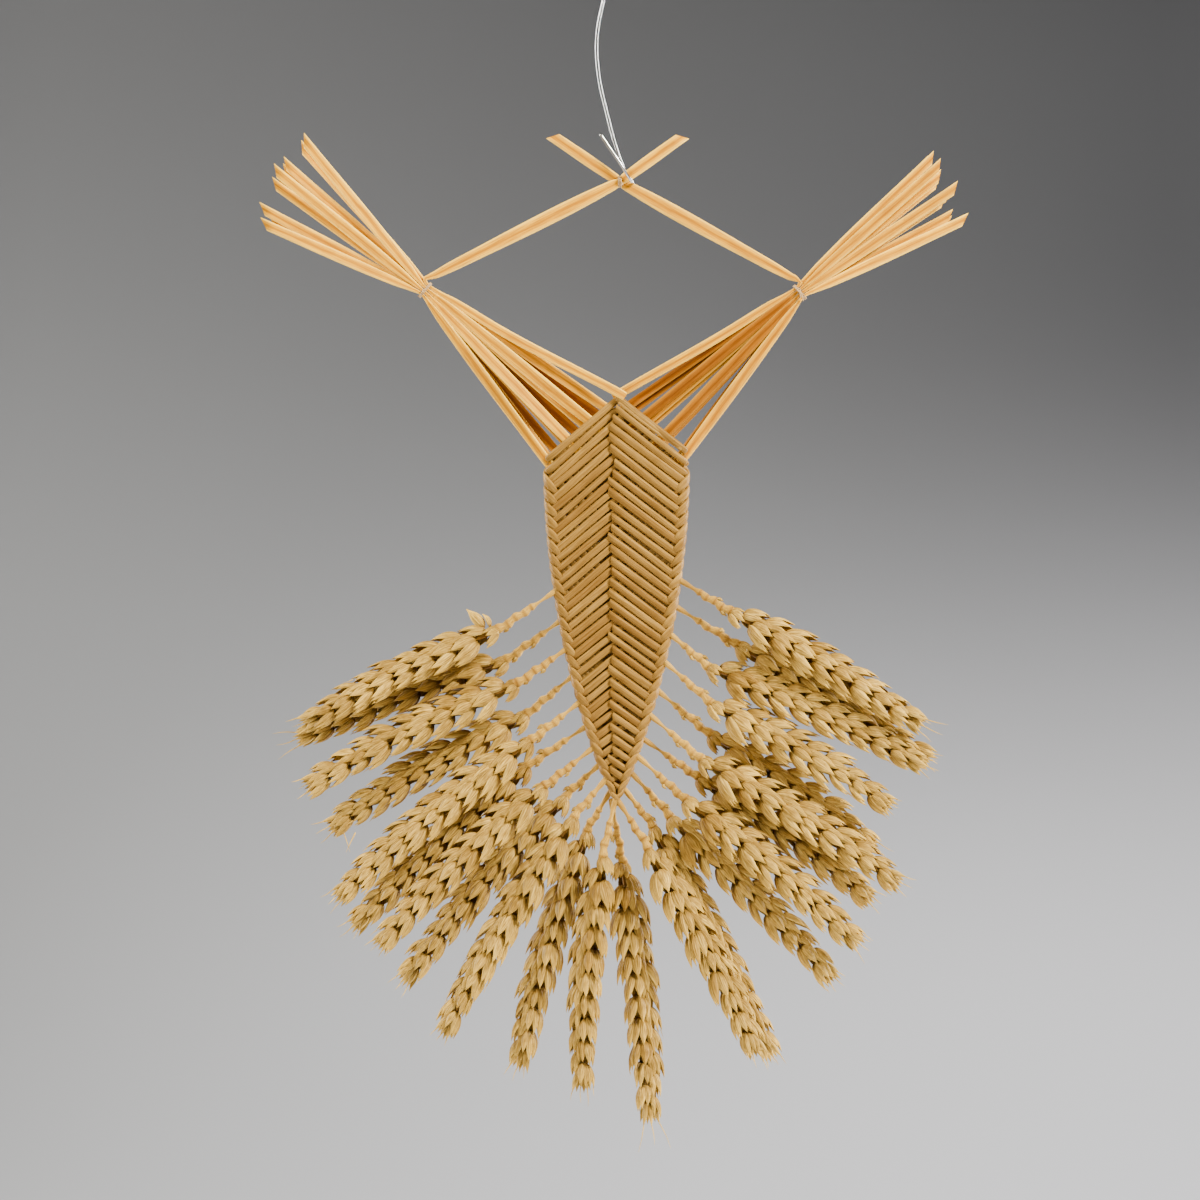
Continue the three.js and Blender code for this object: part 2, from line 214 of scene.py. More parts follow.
# A material being made: each method adds a node and gives back the socket to go on from.
class Paint:
    def __init__(self, name):
        self.material = bpy.data.materials.new(name)
        self.material.use_nodes = True
        self.tree = self.material.node_tree
        self.shader = self.tree.nodes["Principled BSDF"]

    def node(self, kind, inputs=None, **settings):
        made = self.tree.nodes.new(kind)
        for key, value in settings.items():
            setattr(made, key, value)
        for key, value in (inputs or {}).items():
            self.feed(made.inputs[key], value)
        return made

    def feed(self, socket, value):
        if isinstance(value, bpy.types.NodeSocket):
            self.tree.links.new(value, socket)
        else:
            socket.default_value = value

    def attribute(self, name):
        return self.node("ShaderNodeAttribute", attribute_name=name).outputs["Fac"]

    def math(self, operation, a, b=0.0, c=0.0):
        return self.node("ShaderNodeMath", {0: a, 1: b, 2: c}, operation=operation).outputs[0]

    def vector(self, x, y, z):
        return self.node("ShaderNodeCombineXYZ", {0: x, 1: y, 2: z}).outputs[0]

    def noise(self, vector, scale, detail=3.0, rough=0.55):
        inputs = {"Vector": vector, "Scale": scale, "Detail": detail, "Roughness": rough}
        return self.node("ShaderNodeTexNoise", inputs).outputs["Fac"]

    def ramp(self, value, stops, interpolation="LINEAR"):
        made = self.node("ShaderNodeValToRGB", {"Fac": value})
        made.color_ramp.interpolation = interpolation
        elements = made.color_ramp.elements
        while len(elements) < len(stops):
            elements.new(0.5)
        for element, (place, color) in zip(elements, stops):
            element.position = place
            element.color = (*color, 1)
        return made.outputs["Color"]

    def mix(self, factor, a, b, blend="MIX"):
        made = self.node("ShaderNodeMix", data_type="RGBA", blend_type=blend)
        self.feed(made.inputs[0], factor)
        self.feed(made.inputs[6], a if isinstance(a, bpy.types.NodeSocket) else (*a, 1))
        self.feed(made.inputs[7], b if isinstance(b, bpy.types.NodeSocket) else (*b, 1))
        return made.outputs[2]

    def spread(self, value, low, high, toLow, toHigh):
        return self.node("ShaderNodeMapRange", {0: value, 1: low, 2: high, 3: toLow, 4: toHigh}).outputs[0]

    def bump(self, height, strength, distance):
        inputs = {"Height": height, "Strength": strength, "Distance": distance}
        return self.node("ShaderNodeBump", inputs).outputs["Normal"]


shineTint = (1.0, 0.75, 0.35, 1)  # keeps the shine as warm as the straw
# What a tone from 0 to 1 multiplies the colour by, for straw and for chaff.
strawTones = [(0.0, (0.34, 0.22, 0.12)), (0.3, (0.72, 0.62, 0.50)),
              (0.65, (0.98, 0.96, 0.92)), (1.0, (1.2, 1.2, 1.15))]
chaffTones = [(0.0, (0.42, 0.33, 0.22)), (0.3, (0.74, 0.67, 0.56)),
              (0.65, (1.0, 0.98, 0.94)), (1.0, (1.3, 1.28, 1.2))]


# Ripe straw: long silky fibres, a painted highlight along the rims, painted shade in the groove, a tone of
# its own for every stem.
def strawPaint(name, look):
    paint = Paint(name)
    across, along, tone = (paint.attribute(key) for key in ("across", "along", "tone"))
    fibreAt = paint.vector(paint.math("MULTIPLY", across, look["fibres"]),
                           paint.math("MULTIPLY", along, 0.09), paint.math("MULTIPLY", tone, 40.0))
    fibre = paint.noise(fibreAt, 1.0, 4.0, 0.65)
    where = paint.node("ShaderNodeTexCoord").outputs["Object"]
    blotch = paint.noise(where, 95.0, 3.0, 0.6)
    color = paint.ramp(fibre, [(0.3, look["dark"]), (0.5, look["middle"]), (0.72, look["light"])])
    side = paint.math("ABSOLUTE", across)
    # Painted shade: the groove down the middle of each face darkened towards the dark colour.
    groove = paint.spread(side, 0.0, 0.42, look["grooveShadeAmount"], 0.0)
    color = paint.mix(groove, color, look["dark"])
    # Painted highlight: the rims brightened towards the rim colour, standing in for light on and through
    # their thin edges.
    rim = paint.math("POWER", side, look["rimHighlightPower"])
    color = paint.mix(paint.math("MULTIPLY", rim, look["rimHighlightAmount"]), color, look["rim"])
    color = paint.mix(1.0, color, paint.ramp(tone, strawTones), "MULTIPLY")
    stain = paint.spread(blotch, 0.5, 0.78, 0.0, look["stain"])
    color = paint.mix(stain, color, look["stainColor"])
    speck = paint.noise(where, 900.0, 2.0, 0.5)
    color = paint.mix(paint.spread(speck, 0.68, 0.78, 0.0, 0.4), color, look["stainColor"])
    paint.feed(paint.shader.inputs["Base Color"], color)
    gloss = paint.spread(fibre, 0.3, 0.7, look["gloss"] + 0.12, look["gloss"])
    paint.feed(paint.shader.inputs["Roughness"], gloss)
    paint.feed(paint.shader.inputs["Normal"], paint.bump(fibre, look["relief"], 0.00012))
    paint.shader.inputs["Specular IOR Level"].default_value = look["shine"]
    paint.shader.inputs["Specular Tint"].default_value = shineTint
    return paint.material


# Papery chaff: fine ribs up each scale, painted shade at its foot, and pale margins and a golden tip that are
# partly its own colour and partly painted highlight.
def chaffPaint(name, look):
    paint = Paint(name)
    across, along, tone = (paint.attribute(key) for key in ("across", "along", "tone"))
    where = paint.node("ShaderNodeTexCoord").outputs["Object"]
    wobble = paint.noise(where, 260.0, 2.0)
    phase = paint.math("MULTIPLY_ADD", across, look["ribs"], paint.math("MULTIPLY", wobble, 2.2))
    rib = paint.math("MULTIPLY_ADD", paint.math("SINE", phase), 0.5, 0.5)
    grainAt = paint.vector(paint.math("MULTIPLY", across, 4.0),
                           paint.math("MULTIPLY", along, 2.0), paint.math("MULTIPLY", tone, 60.0))
    grain = paint.noise(grainAt, 1.3, 4.0, 0.6)
    body = paint.ramp(grain, [(0.3, look["dark"]), (0.5, look["middle"]), (0.72, look["light"])])
    # Painted shade: the foot of each scale, down among the others, darkened towards the foot colour.
    foot = paint.spread(along, 0.02, 0.42, look["footShadeAmount"], 0.0)
    color = paint.mix(foot, body, look["foot"])
    # The golden tip of each scale: partly the chaff's own colour, partly painted highlight.
    tip = paint.spread(along, 0.55, 0.95, 0.0, look["tipAndHighlightAmount"])
    color = paint.mix(tip, color, look["tip"])
    color = paint.mix(paint.math("MULTIPLY", rib, look["ribShade"]), color, look["groove"])
    # The pale margins: partly the chaff's own colour, partly painted highlight.
    marginAndHighlight = paint.math("POWER", paint.math("ABSOLUTE", across), 6.0)
    color = paint.mix(paint.math("MULTIPLY", marginAndHighlight, look["marginAndHighlightAmount"]), color, look["marginAndHighlight"])
    color = paint.mix(1.0, color, paint.ramp(tone, chaffTones), "MULTIPLY")
    spot = paint.noise(where, 420.0, 3.0, 0.6)
    color = paint.mix(paint.spread(spot, 0.62, 0.75, 0.0, 0.45), color, look["spot"])
    paint.feed(paint.shader.inputs["Base Color"], color)
    paint.feed(paint.shader.inputs["Roughness"], paint.spread(grain, 0.3, 0.7, 0.6, 0.42))
    height = paint.math("MULTIPLY_ADD", rib, -0.8, grain)
    paint.feed(paint.shader.inputs["Normal"], paint.bump(height, look["relief"], 0.00016))
    paint.shader.inputs["Specular IOR Level"].default_value = 0.15
    paint.shader.inputs["Specular Tint"].default_value = shineTint
    return paint.material


def threadPaint():
    paint = Paint("thread")
    across, along = paint.attribute("across"), paint.attribute("along")
    twistAt = paint.math("MULTIPLY_ADD", along, 14.0, paint.math("MULTIPLY", across, 2.5))
    twist = paint.math("MULTIPLY_ADD", paint.math("SINE", twistAt), 0.5, 0.5)
    color = paint.mix(twist, (0.20, 0.10, 0.03), (0.62, 0.40, 0.16))
    paint.feed(paint.shader.inputs["Base Color"], color)
    paint.feed(paint.shader.inputs["Normal"], paint.bump(twist, 0.6, 0.0001))
    paint.shader.inputs["Roughness"].default_value = 0.75
    return paint.material


def wirePaint():
    paint = Paint("wire")
    where = paint.node("ShaderNodeTexCoord").outputs["Object"]
    drawn = paint.noise(where, 700.0, 3.0)
    color = paint.ramp(drawn, [(0.3, (0.42, 0.41, 0.39)), (0.7, (0.62, 0.60, 0.57))])
    paint.feed(paint.shader.inputs["Base Color"], color)
    paint.feed(paint.shader.inputs["Roughness"], paint.spread(drawn, 0.3, 0.7, 0.24, 0.15))
    paint.feed(paint.shader.inputs["Normal"], paint.bump(drawn, 0.05, 0.00003))
    paint.shader.inputs["Metallic"].default_value = 1.0
    return paint.material


stemLook = {
    "fibres": 5.0, "dark": (0.30, 0.10, 0.001), "middle": (0.60, 0.255, 0.002),
    "light": (0.86, 0.42, 0.006), "rim": (1.0, 0.66, 0.10), "rimHighlightPower": 4.0, "rimHighlightAmount": 0.85,
    "grooveShadeAmount": 0.75, "stain": 0.25, "stainColor": (0.30, 0.10, 0.001),
    "gloss": 0.42, "shine": 0.12, "relief": 0.35,
}
# The plait's straw: the same straw as the stems made darker all over, painted shade for the shade the plait
# sits in.
shadedBarLook = {
    "fibres": 5.0, "dark": (0.13, 0.058, 0.006), "middle": (0.21, 0.107, 0.019),
    "light": (0.35, 0.196, 0.042), "rim": (0.30, 0.155, 0.022), "rimHighlightPower": 4.0, "rimHighlightAmount": 0.3,
    "grooveShadeAmount": 0.15, "stain": 0.4, "stainColor": (0.10, 0.036, 0.003),
    "gloss": 0.42, "shine": 0.2, "relief": 0.4,
}
neckLook = {
    "fibres": 4.0, "dark": (0.20, 0.095, 0.010), "middle": (0.36, 0.19, 0.026),
    "light": (0.52, 0.31, 0.055), "rim": (0.58, 0.36, 0.07), "rimHighlightPower": 4.0, "rimHighlightAmount": 0.5,
    "grooveShadeAmount": 0.0, "stain": 0.5, "stainColor": (0.10, 0.035, 0.004),
    "gloss": 0.42, "shine": 0.2, "relief": 0.45,
}
chaffLook = {
    "ribs": 18.0, "dark": (0.18, 0.098, 0.014), "middle": (0.34, 0.202, 0.036),
    "light": (0.66, 0.43, 0.095), "foot": (0.16, 0.07, 0.008), "footShadeAmount": 0.45,
    "tip": (0.92, 0.56, 0.085), "tipAndHighlightAmount": 0.6, "groove": (0.12, 0.05, 0.005), "ribShade": 0.32,
    "marginAndHighlight": (1.0, 0.70, 0.18), "marginAndHighlightAmount": 0.65, "spot": (0.12, 0.045, 0.005), "relief": 0.75,
}
stemPaint = strawPaint("straw_stem", stemLook)
shadedBarPaint = strawPaint("straw_bar_shaded", shadedBarLook)
neckPaint = strawPaint("straw_neck", neckLook)
scalePaint = chaffPaint("chaff", chaffLook)
print("stage: materials")

# The plaited body. Its heights are from the tip at the bottom up.
plait = {
    "bars": 37, "height": 135.0, "shoulder": 114.3, "halfWidth": 23.7,
    "leftSlope": 0.86, "rightSlope": 0.76, "barWidth": 2.5, "barThickness": 2.1, "faceDepth": 1.65,
    "backSlope": 0.8, "backWidth": 3.5, "topWidth": 3.1, "topThickness": 1.6,
    "foldPitch": 4.2, "foldWidth": 2.75, "strapThickness": 0.8, "seed": 11,
}
plaitLow, plaitHigh = nodeBox("plaited_body")
plaitAxis = (plaitLow[0] + plaitHigh[0]) / 2
plaitTip = plaitLow[2]
plaitScale = (plaitHigh[0] - plaitLow[0]) / 2 / (plait["halfWidth"] + 0.4)


def halfWidthAt(height):
    part = min(max(height, 0) / plait["shoulder"], 1)
    return plait["halfWidth"] * plaitScale * math.sin(math.pi / 2 * part ** 0.85)


def edgeHeight(centreHeight, slope):
    low, high = 0.0, centreHeight
    for i in range(40):
        middle = (low + high) / 2
        if middle + slope * halfWidthAt(middle) < centreHeight:
            low = middle
        else:
            high = middle
    return low


def onPlait(x, y, height):
    return [plaitAxis + x, y, plaitTip + height]


# One row of one side: its bar on the front, from the middle down to the edge, and the bar behind it.
# The right bars end over the middle, and the left ones tuck in under them.
def addRow(frontBars, backBars, rng, k, side, middle):
    baseSlope = plait["leftSlope"] if side < 0 else plait["rightSlope"]
    slope = baseSlope * (0.9 + 0.12 * k / plait["bars"]) + rng.uniform(-0.03, 0.03)
    edge = edgeHeight(middle, slope)
    reach = halfWidthAt(edge)
    small = min(1.0, 0.35 + reach / 9)
    width = plait["barWidth"] * rng.uniform(0.84, 1.1) * min(1, small * 1.1)
    thick = plait["barThickness"] * small
    deep = plait["faceDepth"] * small + rng.uniform(-0.1, 0.16)
    tuck = min(3.4, reach * 0.5) if k <= plait["bars"] - 3 else 0.0
    shift = rng.uniform(-0.24, 0.24)
    # [distance from the middle, how far it sinks, tilt]
    if side > 0:
        course = [(-min(1.8, tuck) * rng.uniform(0.3, 1.5), -0.3, 26), (-0.2, -0.5, 24),
                  (tuck * 0.8, -0.2, 16)]
    else:
        course = [(-tuck * 0.8, 1.9, 6), (0.3, 1.2, 10), (tuck, 0.2, 12)]
    course += [(reach * 0.5, -0.1, 10), (reach - 2.2, 0.1, 6), (reach - 0.9, 0.7, 0)]
    rows, before = [], -math.inf
    for across, sink, tilt in course:
        if across >= before + 0.4:
            place = onPlait(side * across, -(deep - sink * small), middle - slope * across + shift)
            rows.append([*place, width, thick, -side * tilt])
            before = across
    ends = ("flat" if side > 0 else "round", "round")
    frontBars.add(sweep(rows, front, 12, 12, strawSection(0.06), ends, (0.7, 0)), rng.uniform(0.4, 0.85))

    backWidth, inner = plait["backWidth"] * small, tuck * 0.6
    backEdge = edge + rng.uniform(-0.15, 0.15)
    backCentre = backEdge - plait["backSlope"] * reach
    if backCentre > 1:
        rows = [
            [*onPlait(-side * inner, small, backCentre - plait["backSlope"] * inner), backWidth, thick],
            [*onPlait(side * reach * 0.5, 1.65 * small, (backCentre + backEdge) / 2), backWidth, thick],
            [*onPlait(side * (reach - 1.0), 1.1 * small, backEdge - 0.8), backWidth, thick],
        ]
        backBars.add(sweep(rows, -front, 7, 10, strawSection(0.1)), rng.uniform(0.35, 0.8))


# The rows at the back of the peak, above the shoulders.
def addTopRows(backBars, rng, pitch):
    slope, width, thick = plait["backSlope"], plait["topWidth"], plait["topThickness"]
    centre = plait["shoulder"] - slope * plait["halfWidth"]
    while centre < plait["height"] - 4:
        reach = (plait["height"] - centre) / 1.66 - 0.7
        for side in (-1, 1):
            rows = [
                [*onPlait(-side * min(2, reach * 0.4), 0.9, centre - 1.6), width, thick],
                [*onPlait(side * reach * 0.5, 1.6, centre + slope * 0.5 * reach), width, thick],
                [*onPlait(side * reach, 1.0, centre + slope * reach), width - 0.2, thick - 0.2],
            ]
            backBars.add(sweep(rows, -front, 6, 10, strawSection(0.1)), rng.uniform(0.35, 0.8))
        centre += pitch


# The short turns of straw round one edge, from the back over to the front.
def addFolds(folds, rng, side):
    height = 3.5
    while height < plait["shoulder"] - 3:
        reach = halfWidthAt(height)
        small = min(1.0, 0.45 + reach / 12)
        lean = rng.uniform(-0.2, 0.2)
        width = plait["foldWidth"] * small * rng.uniform(0.9, 1.1)
        rows = [
            [*onPlait(side * (reach - 2.4), 2.1 * small, height + 4.4 + lean), width * 0.9, 1.2],
            [*onPlait(side * (reach - 0.3), 1.6 * small, height + 2.6 + lean), width, 1.2],
            [*onPlait(side * (reach + 0.25), 0.0, height + 1.2), width, 1.3],
            [*onPlait(side * (reach - 0.5), -1.9 * small, height - 0.6), width * 1.05, 1.3],
            [*onPlait(side * (reach - 2.2), -2.7 * small, height - 2.4 - lean), width * 0.85, 1.2],
            [*onPlait(side * (reach - 3.8 * small), -1.7 * small, height - 4.2 - lean), width * 0.45, 0.8],
        ]
        hub = np.array(onPlait(side * (reach - 3.2), 0, height))

        def outward(point, hub=hub):
            return unit((point - hub) * np.array([1, 1, 0.0]))

        folds.add(sweep(rows, outward, 14, 12, strawSection(0.06)), rng.uniform(0.5, 1.0))
        height += plait["foldPitch"] * (0.8 + 0.2 * small) * rng.uniform(0.95, 1.05)


# Two narrow straps along the right slope of the peak.
def addStraps(folds):
    thick = plait["strapThickness"]
    for drop, width in ((-0.4, 1.3), (1.3, 1.0)):
        rows = [
            [*onPlait(0.8, -2.6, plait["height"] - 0.5 - drop), width, thick],
            [*onPlait(11, -2.5, plait["height"] - 9.0 - drop * 0.7), width, thick],
            [*onPlait(21.4, -2.2, plait["height"] - 16.8 - drop * 0.3), width, thick],
        ]
        folds.add(sweep(rows, front, 10, 10, strawSection(0.1)), 1.0)


def makePlait():
    rng = random.Random(plait["seed"])
    pitch = plait["height"] / (plait["bars"] - 0.4)
    frontBars, backBars, folds = Gather(), Gather(), Gather()
    for k in range(plait["bars"]):
        for side, offset in ((-1, 0.42), (1, 0.62)):
            addRow(frontBars, backBars, rng, k, side, (k + offset) * pitch)
    addTopRows(backBars, rng, pitch)
    for side in (-1, 1):
        addFolds(folds, rng, side)
    addStraps(folds)
    frontBars.build("plait_front", [shadedBarPaint], ["plaited_body"], "plaited_straw")
    backBars.build("plait_back", [shadedBarPaint], ["plaited_body"], "plaited_straw")
    folds.build("plait_edges", [shadedBarPaint], ["plaited_body"], "plaited_straw")


makePlait()
print("stage: plait")

# The ears, each with its neck angle, neck length, ear angle, ear length and the awn length at its tip.
ears = {
    "ear_left_01": (34, 22.5, 26, 72, 7), "ear_left_02": (36, 22.5, 21, 74, 9),
    "ear_left_03": (35, 20, 26, 78, 5), "ear_left_04": (40, 20, 30, 76, 6),
    "ear_left_05": (38, 20, 39, 83, 7), "ear_left_06": (34, 23, 43, 79, 6),
    "ear_left_07": (38, 19.5, 44, 76, 4), "ear_left_08": (43, 14, 49, 82, 5),
    "ear_left_09": (49, 14.5, 59, 84, 4), "ear_left_10": (59, 13.5, 74, 82, 5),
    "ear_left_11": (77, 17, 85, 77, 6), "ear_centre": (100, 19, 96, 87, 11),
    "ear_right_11": (57, 17, 62, 77, 6), "ear_right_10": (52, 13.5, 63, 87, 5),
    "ear_right_09": (48, 17.5, 45, 77, 4), "ear_right_08": (42, 19.5, 40, 75, 6),
    "ear_right_07": (35, 20.5, 35, 71, 5), "ear_right_06": (41, 20.5, 32, 78, 6),
    "ear_right_05": (40, 21.5, 35, 67, 7), "ear_right_04": (41, 19, 30, 69, 4),
    "ear_right_03": (40, 15, 25, 79, 5), "ear_right_02": (32, 23, 31, 75, 5),
    "ear_right_01": (32, 18, 31, 74, 9),
}
ear = {
    "pitch": 3.95, "scaleLength": 11.5, "scaleWidth": 4.15, "scaleDepth": 1.6, "halfDepth": 4.4,
    "neckStart": 0.55, "jointPitch": 3.4, "tipScales": 6, "seed": 5, "templateSeed": 3,
}


# One scale of a spikelet, one unit long, wide and deep: +Y is its way to the tip, +Z its rounded outside.
def scaleTemplate(rng, beak, keel):
    widest = rng.uniform(0.37, 0.45)
    power = math.log(0.5) / math.log(widest)
    skew = rng.uniform(-0.09, 0.09)
    keelSide = rng.uniform(0.1, 0.32)

    def place(u, w):
        along = w
        shape = math.sin(math.pi * min(1, along ** power)) ** 0.82
        shape *= 1 - 0.45 * smooth((along - 0.55) / 0.45)
        if along > 1 - beak:
            shape = max(shape, 0.09 * (1 - along) / beak)
        shape = max(shape, 0.0)
        outer = u <= 0.7
        side = 2 * u / 0.7 - 1 if outer else 1 - 2 * (u - 0.7) / 0.3
        arch = (1 - abs(side) ** 2) * shape ** 0.8
        ridge = keel * math.exp(-((side - keelSide) / 0.2) ** 2) * shape ** 0.5 if outer else 0
        bow = 0.42 * math.sin(math.pi * min(1.0, along * 0.92))
        x = 0.5 * side * shape + skew * along * along
        z = arch * (1.0 if outer else 0.3) + ridge + bow
        return Vector((x, along, z)), side, along

    return shell(9, 8, place)


def makeTemplates():
    rng = random.Random(ear["templateSeed"])
    glumes = [scaleTemplate(rng, 0.10, 0.22) for i in range(4)]
    lemmas = [scaleTemplate(rng, 0.16, 0.08) for i in range(6)]
    return glumes, lemmas


glumes, lemmas = makeTemplates()


def addScale(gather, rng, template, base, ahead, facing, length, width, depth, tone):
    ahead = unit(ahead)
    facing = unit(facing - ahead * np.dot(facing, ahead))
    side = np.cross(ahead, facing)
    mirrored = rng.random() < 0.5
    if mirrored:
        side = -side
    matrix = Matrix((side * width, ahead * length, facing * depth)).transposed().to_4x4()
    matrix.translation = base
    gather.add(template, tone, 0, matrix, mirrored, keep=True)


def addAwn(gather, rng, base, ahead, length, radius=0.16):
    drift = np.array([rng.uniform(-1, 1), rng.uniform(-1, 1), rng.uniform(-1, 1)]) * length * 0.06
    rows = [
        [*base, radius * 2.4, radius * 2.4],
        [*(base + ahead * length * 0.5 + drift), radius * 1.6, radius * 1.6],
        [*(base + ahead * length + drift * 0.3), radius * 0.5, radius * 0.5],
    ]
    gather.add(sweep(rows, front, 4, 5, None, ("point", "point"), fixed=(0, 0.95)), rng.uniform(0.6, 1.0))


# The neck: a smooth length of straw, then short swollen joints that step from side to side.
def addNeck(gather, rng, root, base, heading, across, spine, neckLength):
    rows = [[*(root - heading * 2.2), 1.9, 1.9], [*root, 1.95, 1.95]]
    smoothPart = rng.uniform(0.3, 0.4)
    joints = max(3, round(neckLength * (1 - smoothPart) / ear["jointPitch"]))
    first = root + (base - root) * smoothPart
    rows.append([*(first - unit(base - root) * 0.5), 2.0, 2.0])
    rows.append([*first, 2.5, 2.4])
    knees = [smoothPart]
    for i in range(joints):
        s0 = smoothPart + (1 - smoothPart) * (i + 0.3) / joints
        s1 = smoothPart + (1 - smoothPart) * (i + 0.9) / joints
        step = across * (0.26 if i % 2 else -0.26)
        grow = 1 + 0.3 * i / joints
        knee = root + (base - root) * s1 + step
        rows.append([*(root + (base - root) * s0 - step * 0.6), 2.0 * grow, 1.8 * grow])
        rows.append([*knee, 2.75 * grow, 2.2 * grow])
        knees.append(s1)
        stub = across * (1 if i % 2 else -1)
        if rng.random() < 0.6 or i == joints - 1:
            addScale(gather, rng, rng.choice(glumes), knee + stub * 0.4, heading + stub * 0.3,
                     stub + front * 0.5, rng.uniform(2.4, 3.6) + 2.2 * (i == joints - 1), 1.8, 0.9,
                     rng.uniform(0.2, 0.9))
    rows.append([*spine(0.03), 2.4, 2.2])
    knees = [2.2 + knee * np.linalg.norm(base - root) for knee in knees]
    bright = rng.uniform(0.65, 0.95)

    def neckTone(along):
        dark = sum(math.exp(-((along - knee - 0.55) / 0.5) ** 2) for knee in knees)
        return min(1, max(0, bright - 0.6 * dark))

    gather.add(sweep(rows, front, 44, 10), neckTone, 1)
    rows = [[*spine(s), 2.0 - s, 1.6 - s * 0.8] for s in (0.0, 0.25, 0.5, 0.75, 0.93)]
    gather.add(sweep(rows, front, 10, 7), 0.2, 1)


# The scales of one face of a spikelet, each with its lean outward, lean off the face, share of facing
# outward, foot outward, foot off the face, length, width, and whether it is a lemma.
facePlan = [
    (21, 5, 0.80, 1.8, 0.7, 1.0, 0.95, True),
    (13, 13, 0.35, 1.2, 1.3, 0.86, 1.10, False),
    (4, 8, 0.08, 0.0, 1.6, 0.90, 0.95, True),
]


def addSpikelets(gather, rng, spine, across, earLength):
    count = int(earLength / ear["pitch"])
    roll = math.radians(rng.uniform(24, 46))
    top = across * math.cos(roll) - front * math.sin(roll)
    facing = front * math.cos(roll) + across * math.sin(roll)
    for i in range(count):
        s = i / count * 0.94
        ahead = unit(spine(s + 0.02) - spine(s - 0.02))
        out = top * (1 if i % 2 else -1)
        size = min(1.0, 0.62 + s * 4.5) * (1 - 0.24 * smooth((s - 0.45) / 0.55)) * rng.uniform(0.93, 1.07)
        narrow = 1.10 - 0.28 * smooth(s / 0.6)
        spread = (1.0 if i % 2 else 1.5 - 0.3 * smooth(s / 0.4)) * (1 - 0.42 * smooth((s - 0.4) / 0.6))
        length, deep = ear["scaleLength"] * size, ear["scaleDepth"] * size
        width = ear["scaleWidth"] * size * narrow
        here = spine(s)
        mood = rng.uniform(0.25, 0.7) + 0.25 * s
        for look in (facing, -facing):
            for leanOut, leanFace, faceOut, footOut, footFace, longer, wider, lemma in facePlan:
                turn = math.radians(leanOut * spread + rng.uniform(-4, 4))
                rise = math.radians(leanFace + rng.uniform(-3, 4))
                direction = ahead * math.cos(turn) + out * math.sin(turn)
                direction = direction * math.cos(rise) + look * math.sin(rise)
                outside = out * faceOut + look * (1.05 - faceOut)
                start = here + (out * footOut + look * footFace * 0.7) * size + ahead * rng.uniform(-0.5, 0.5)
                part = length * longer * rng.uniform(0.93, 1.08)
                template = rng.choice(lemmas if lemma else glumes)
                tone = min(1, max(0, mood + rng.uniform(-0.22, 0.22)))
                addScale(gather, rng, template, start, direction, outside, part,
                         width * wider * rng.uniform(0.9, 1.1), deep, tone)
                if lemma and s > 0.5 and rng.random() < 0.22:
                    addAwn(gather, rng, start + unit(direction) * part * 0.95, unit(direction + ahead),
                           rng.uniform(1.0, 3.4), 0.12)
        turn = math.radians(22 * spread + rng.uniform(-3, 3))
        direction = ahead * math.cos(turn) + out * math.sin(turn)
        addScale(gather, rng, rng.choice(lemmas), here + out * 1.9 * size, direction, out, length * 1.02,
                 width * 0.9, deep, min(1, mood + 0.1))


# The last scales of an ear, fanned, with the awns between them.
def addTip(gather, rng, spine, across, earLength, awn):
    ahead = unit(spine(1.0) - spine(0.9))
    for i in range(ear["tipScales"]):
        fan = (i - 2.5) * 0.11
        direction = unit(ahead + across * fan + front * rng.uniform(-0.12, 0.12))
        start = spine(0.92) + across * fan * 4 + front * rng.uniform(-1, 1)
        length = earLength * 0.08 + rng.uniform(0.5, 2.5)
        addScale(gather, rng, rng.choice(lemmas), start, direction, front if i % 2 else -front, length, 2.1,
                 1.0, rng.uniform(0.6, 1.0))
        if i % 2:
            addAwn(gather, rng, start + direction * length * 0.93,
                   unit(direction + across * rng.uniform(-0.12, 0.12)), awn * rng.uniform(0.4, 0.85), 0.15)
    return ahead


# The two stray glumes at the foot of the top left ear, and the two awns that cross beyond another's tip.
def addStrays(gather, rng, name, spine, across, ahead, tip):
    if name == "ear_left_01":
        addScale(gather, rng, glumes[0], spine(0.05) + across * 2.2, across + ahead * 0.35,
                 -ahead * 0.4 + front, 9.0, 4.0, 1.3, 0.95)
        addScale(gather, rng, glumes[1], spine(0.03) + across * 1.6, across + ahead * 0.1,
                 -ahead + front * 0.4, 5.5, 2.6, 1.2, 0.8)
    if name == "ear_left_04":
        for start, direction, length in (((3.4, 1.0), (0.35, -0.95), 9.5), ((8.5, -1.6), (-0.42, -0.9), 7.0)):
            addAwn(gather, rng, tip + np.array([start[0], -1.5, start[1]]),
                   unit([direction[0], -0.1, direction[1]]), length, 0.2)


